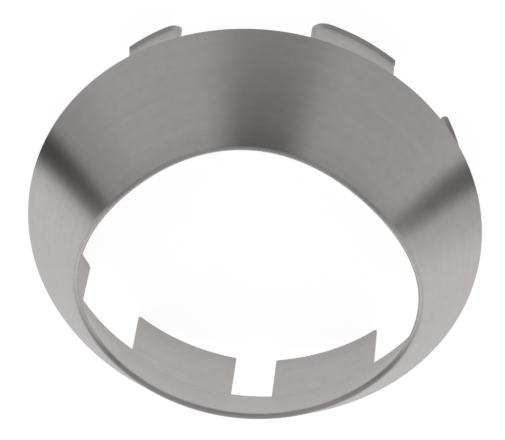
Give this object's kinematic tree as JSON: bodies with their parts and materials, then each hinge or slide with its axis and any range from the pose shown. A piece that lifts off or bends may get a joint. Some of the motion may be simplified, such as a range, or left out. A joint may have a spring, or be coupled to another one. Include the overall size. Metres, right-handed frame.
{
  "type": "tap cover ring",
  "caption": "Low cone-shaped cover ring of folded sheet steel with a wide opening, a slanted front edge and claws behind its large rim that grip a tap body.",
  "frame": {"origin": "centre of the ring in the plane of the claw tips", "axes": "+Z along the ring's axis, from the claw tips to the small front edge; the notch is near -Y"},
  "size_m": [0.056, 0.056, 0.0227],
  "materials": {
    "steel": "fine brushed round the axis, satin"
  },
  "bodies": {
    "root": {"cover_ring": "steel"}
  },
  "joints": []
}
